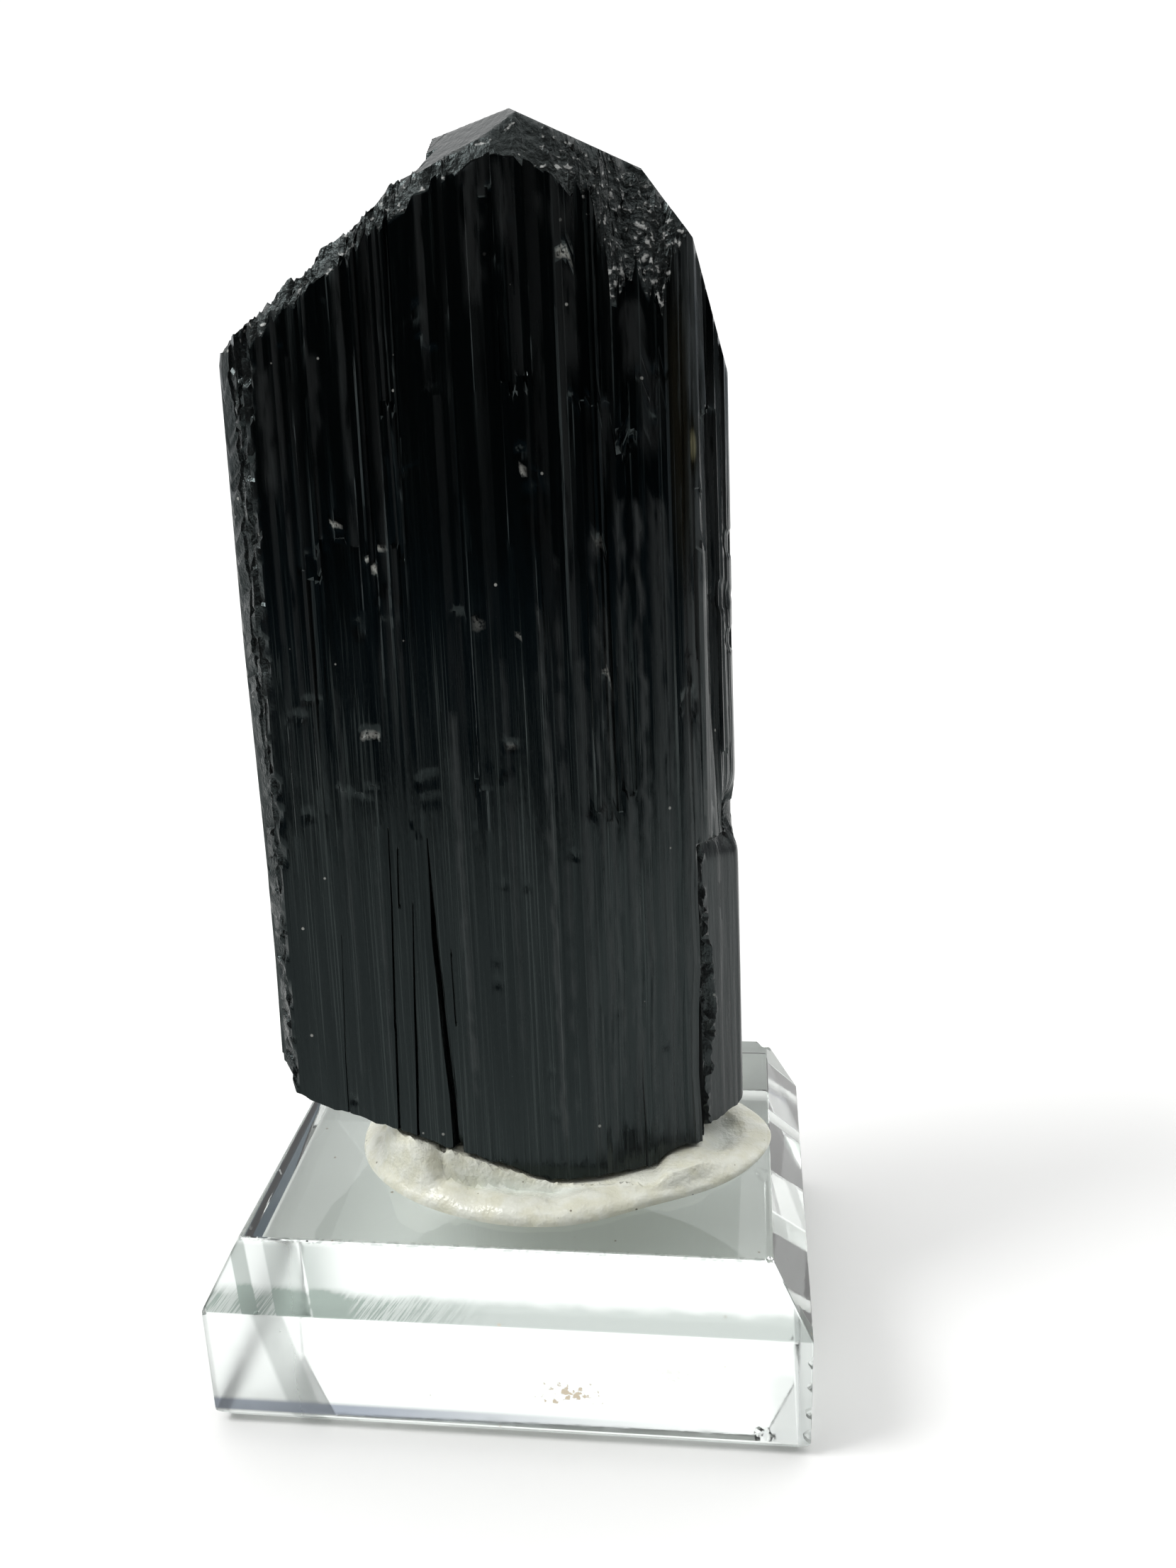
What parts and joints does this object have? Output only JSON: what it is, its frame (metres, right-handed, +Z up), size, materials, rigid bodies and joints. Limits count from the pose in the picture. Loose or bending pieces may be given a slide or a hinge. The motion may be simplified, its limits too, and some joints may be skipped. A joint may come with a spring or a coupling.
{
  "type": "black tourmaline crystal on a display base",
  "caption": "Upright striated prism of black tourmaline with a low pyramid tip, set in pale putty on a clear bevelled display base.",
  "frame": {"origin": "centre of the display base's underside", "axes": "+Z up, +X to the right as the crystal's broad striated face is seen, +Y to the back, away from that face"},
  "size_m": [0.05, 0.0448, 0.103],
  "materials": {
    "tourmaline": "glossy, striated, with frosted and rough broken places",
    "putty": "milky, slightly glossy putty",
    "clear_base": "clear polished acrylic with worn edges"
  },
  "bodies": {
    "root": {"tourmaline_crystal": "tourmaline", "mounting_putty": "putty", "display_base": "clear_base"}
  },
  "joints": []
}
